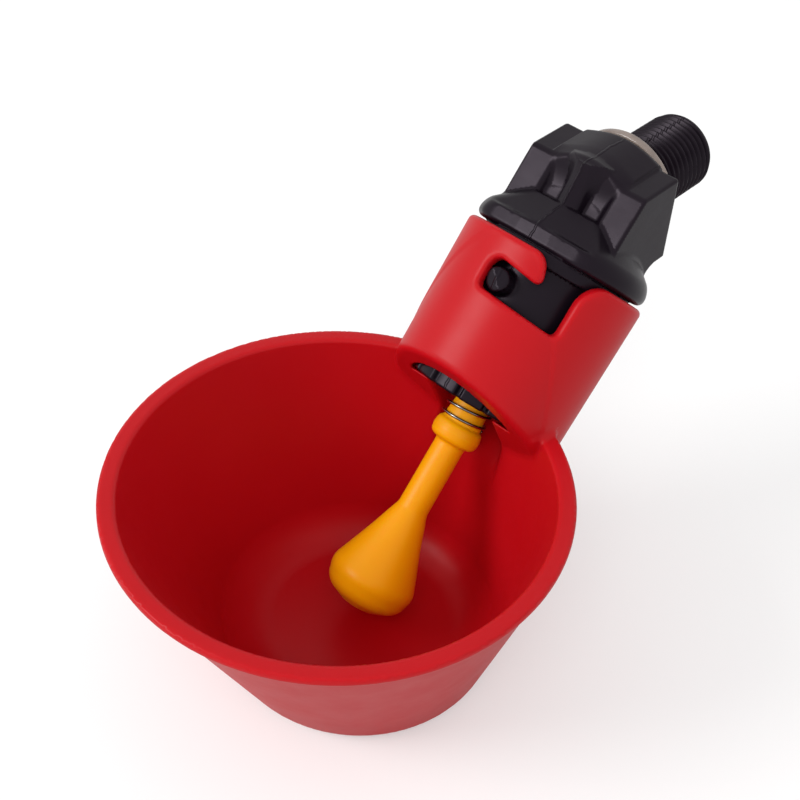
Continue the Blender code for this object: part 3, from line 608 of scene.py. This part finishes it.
def add_range(tree, value, low, high, to_low, to_high, step="LINEAR"):
    """Maps a value from one range to another, linearly or in a smooth step."""
    node = add_node(tree, "ShaderNodeMapRange", [(value, "Value")], interpolation_type=step)
    for key, number in zip(("From Min", "From Max", "To Min", "To Max"), (low, high, to_low, to_high)):
        node.inputs[key].default_value = number
    return node


def moulded_plastic(name, dark, light, roughness, spread, subsurface, radius_mm, ripple, seam):
    """An injection-moulded plastic: cloudy colour, patchy gloss, a faint unevenness, and a parting line at y = 0.

    The colour's clouds are 14 mm wide, the gloss's patches 5 mm and the unevenness 1.6 mm. The parting line is a ridge
    0.1 mm high and about 0.3 mm wide that wanders by 0.25 mm. Its strength is the seam value.
    """
    material, tree, shader = new_material(name)
    place = object_mm(tree)
    cloud = add_node(tree, "ShaderNodeTexNoise", [(place, "Vector")], Scale=1 / 14, Detail=3.0, Roughness=0.5)
    ramp = add_node(tree, "ShaderNodeMix", [(cloud.outputs["Fac"], 0)], data_type="RGBA")
    ramp.inputs[6].default_value = linear(dark)
    ramp.inputs[7].default_value = linear(light)
    tree.links.new(ramp.outputs[2], shader.inputs["Base Color"])
    patch = add_node(tree, "ShaderNodeTexNoise", [(place, "Vector")], Scale=1 / 5, Detail=4.0, Roughness=0.6)
    gloss = add_range(tree, patch.outputs["Fac"], 0.3, 0.7, roughness - spread, roughness + spread)
    tree.links.new(gloss.outputs[0], shader.inputs["Roughness"])
    grain = add_node(tree, "ShaderNodeTexNoise", [(place, "Vector")], Scale=1 / 1.6, Detail=2.0, Roughness=0.5)
    uneven = add_node(tree, "ShaderNodeBump", [(grain.outputs["Fac"], "Height")], Strength=ripple, Distance=0.00005)
    across = add_node(tree, "ShaderNodeSeparateXYZ", [(place, 0)])
    rough = add_node(tree, "ShaderNodeTexNoise", [(place, "Vector")], Scale=1 / 1.1, Detail=1.0)
    wander = add_node(tree, "ShaderNodeMath", [(rough.outputs["Fac"], 0)], operation="MULTIPLY_ADD")
    wander.inputs[1].default_value = 0.5
    wander.inputs[2].default_value = -0.25
    line = add_node(tree, "ShaderNodeMath", [(across.outputs["Y"], 0), (wander.outputs[0], 1)], operation="ADD")
    far = add_node(tree, "ShaderNodeMath", [(line.outputs[0], 0)], operation="ABSOLUTE")
    flash = add_range(tree, far.outputs[0], 0.04, 0.22, 1.0, 0.0, "SMOOTHSTEP")
    height_and_normal = [(flash.outputs[0], "Height"), (uneven.outputs[0], "Normal")]
    ridge = add_node(tree, "ShaderNodeBump", height_and_normal, Strength=seam, Distance=0.0001)
    tree.links.new(ridge.outputs[0], shader.inputs["Normal"])
    set_shader(shader, IOR=1.49, Specular_IOR_Level=0.22)
    set_shader(shader, Subsurface_Weight=subsurface, Subsurface_Scale=radius_mm / 1000)
    return material


def make_materials():
    """One material for each plastic, rubber and metal on the bench."""
    # Red polypropylene, injection moulded: soft gloss, light scatters a little way in.
    red = moulded_plastic("red moulded polypropylene", "#B40812", "#BC0D18", 0.38, 0.03, 0.35, 1.5, 0.2, 0.0)
    # Black polypropylene, injection moulded: violet-grey sheen where the light grazes it, and a parting line.
    black = moulded_plastic("black moulded polypropylene", "#0E0910", "#140D15", 0.32, 0.04, 0.0, 0.5, 0.3, 0.8)
    set_shader(black.node_tree.nodes["Principled BSDF"], Specular_Tint=(1.0, 0.86, 1.0, 1))
    # Yellow acetal, injection moulded: warm and waxy, light scatters a little deeper.
    yellow = moulded_plastic("yellow moulded acetal", "#EA9A00", "#EEA202", 0.38, 0.04, 0.2, 1.6, 0.2, 0.0)
    # Natural nylon, punched from sheet: milky and brownish, with pale glints, and light comes through it.
    amber, tree, shader = new_material("natural nylon washer")
    milk = add_node(tree, "ShaderNodeTexNoise", [(object_mm(tree), "Vector")], Scale=1 / 2.5, Detail=2.0)
    tone = add_node(tree, "ShaderNodeMix", [(milk.outputs["Fac"], 0)], data_type="RGBA")
    tone.inputs[6].default_value = linear("#5C4A45")
    tone.inputs[7].default_value = linear("#CDBBB0")
    tree.links.new(tone.outputs[2], shader.inputs["Base Color"])
    set_shader(shader, Roughness=0.18, IOR=1.53, Transmission_Weight=0.4)
    # Nitrile rubber, moulded: matt black.
    rubber, tree, shader = new_material("moulded nitrile seat")
    set_shader(shader, Base_Color=linear("#1C1C1C"), Roughness=0.65)
    # Stainless spring wire, drawn: bright, with reflections that are slightly blurred.
    steel, tree, shader = new_material("drawn stainless wire")
    set_shader(shader, Base_Color=linear("#9A9692"), Roughness=0.24, Metallic=1.0)
    return {"red": red, "black": black, "yellow": yellow, "amber": amber, "rubber": rubber, "steel": steel}


# Pieces


def add_pieces(finish):
    """Builds each piece over its CAD node and ties it to its body."""
    x = graded((-33.2, 6.0, 0.56), (6.0, 43.0, 0.38))
    y = graded((-29.0, -13.2, 0.56), (-13.2, 13.2, 0.38), (13.2, 29.0, 0.56))
    z = graded((-0.7, 21.0, 0.7), (21.0, 28.5, 0.38), (28.5, 31.2, 0.26), (31.2, 52.4, 0.38))
    points, quads, normals = level_surface(cup_field, (x, y, z))
    add_piece("cup_moulding", points, quads, finish["red"], "cup", ["cup"], "red_plastic", normals)
    x, y, z = graded((13.7, 45.3, 0.28)), graded((-12.5, 12.6, 0.28)), graded((25.7, 57.2, 0.28))
    points, quads, normals = level_surface(valve_field, (x, y, z))
    add_piece("valve_moulding", points, quads, finish["black"], "valve", ["valve_body"], "black_plastic", normals)
    add_piece("inlet_thread", *thread_surface(), finish["black"], "valve", [], "black_plastic")
    add_piece("cap_moulding", *cap_surface(), finish["black"], "valve", ["retaining_cap"], "black_plastic")
    washer = ring_surface(
        [(5.3, 44.6, 0.1), (7.6, 44.6, 0.3), (7.6, 45.85, 0.5), (5.3, 46.04, 0.1)], 0.3, 128, from_inlet
    )
    add_piece("washer_ring", *washer, finish["amber"], "valve", ["thread_washer"], "amber_washer")
    seat = ring_surface(
        [(1.9, -0.05, 0.1), (7.25, -0.05, 0.2), (7.25, 1.45, 0.2), (1.9, 1.45, 0.1)], 0.5, 96, from_valve
    )
    add_piece("seat_ring", *seat, finish["rubber"], "valve", ["seat_gasket"], "seat_rubber")
    add_turned(
        "trigger_moulding", TRIGGER_CORNERS, 96, from_trigger, finish["yellow"], "trigger", ["trigger"],
        "yellow_plastic", 0.4,
    )
    # The spring rides whole on the trigger. A blend from its own body sets it astray where cup and trigger both turn.
    add_piece("spring_wire", *spring_surface(), finish["steel"], "trigger", ["return_spring"], "spring_wire")


# Studio


def add_stage():
    """A pale floor that the camera sees as white, keeping the object's shadow."""
    mesh = bpy.data.meshes.new("studio_floor")
    reach, drop = 0.6, 0.0001
    corners = [(-reach, -reach, 0), (reach, -reach, 0), (reach, reach, 0), (-reach, reach, 0)]
    mesh.from_pydata(corners, [], [(0, 1, 2, 3)])
    floor = bpy.data.objects.new("studio_floor", mesh)
    floor.location.z = -drop
    bpy.context.scene.collection.objects.link(floor)
    # White studio paper, matt: it looks fully lit to the camera, and still keeps the object's shadow.
    paper, tree, shader = new_material("white studio paper")
    path = add_node(tree, "ShaderNodeLightPath")
    tree.links.new(path.outputs["Is Camera Ray"], shader.inputs["Emission Strength"])
    set_shader(shader, Base_Color=linear("#D8D8D8"), Roughness=0.8, Emission_Color=(0.3, 0.3, 0.3, 1))
    mesh.materials.append(paper)


def add_light(name, place, target, size, power):
    """A square soft box that looks at a target, its size in metres and its power in watts."""
    data = bpy.data.lights.new(name, "AREA")
    data.size = size
    data.energy = power
    lamp = bpy.data.objects.new(name, data)
    lamp.location = place
    aim = Vector(target) - Vector(place)
    lamp.rotation_euler = aim.to_track_quat("-Z", "Y").to_euler()
    bpy.context.scene.collection.objects.link(lamp)
    return lamp


def add_camera():
    """The photograph's view: place, direction and roll from a fit of the rim, the base, the socket and the inlet."""
    azimuth, elevation, roll = (math.radians(a) for a in (-48.3915, 42.9250, 3.1760))
    back = Vector(
        (math.sin(azimuth) * math.cos(elevation), -math.cos(azimuth) * math.cos(elevation), math.sin(elevation))
    )
    right = Vector((math.cos(azimuth), math.sin(azimuth), 0))
    up = back.cross(right)
    turned_right = right * math.cos(roll) + up * math.sin(roll)
    turned_up = up * math.cos(roll) - right * math.sin(roll)
    data = bpy.data.cameras.new("camera")
    data.sensor_width = 36
    data.lens = 63.590
    data.clip_start, data.clip_end = 0.01, 10
    camera = bpy.data.objects.new("camera", data)
    camera.matrix_world = Matrix.Translation((-0.084650, -0.079987, 0.149585)) @ Matrix(
        (turned_right, turned_up, back)
    ).transposed().to_4x4()
    bpy.context.scene.collection.objects.link(camera)
    bpy.context.scene.camera = camera


def light_scene():
    """Even white surroundings, with a window on the left and a soft box in front that leaves no highlights."""
    world = bpy.data.worlds.new("studio")
    bpy.context.scene.world = world
    world.use_nodes = True
    tree = world.node_tree
    background = tree.nodes["Background"]
    background.inputs["Color"].default_value = (1, 1, 1, 1)
    background.inputs["Strength"].default_value = 0.74
    seen = add_node(tree, "ShaderNodeBackground", Color=(1, 1, 1, 1), Strength=1.0)
    path = add_node(tree, "ShaderNodeLightPath")
    parts = [(path.outputs["Is Camera Ray"], 0), (background.outputs[0], 1), (seen.outputs[0], 2)]
    mix = add_node(tree, "ShaderNodeMixShader", parts)
    tree.links.new(mix.outputs[0], tree.nodes["World Output"].inputs["Surface"])
    target = (0.01, 0, 0.03)
    add_light("window", (-0.62, 0.42, 0.5), target, 0.4, 3.8)
    front = add_light("front", (-0.5, -0.38, 0.72), target, 0.5, 2.4)
    front.visible_glossy = False
    bpy.context.scene.view_settings.view_transform = "Standard"


def main():
    finish = make_materials()
    add_pieces(finish)
    add_stage()
    add_camera()
    light_scene()


main()
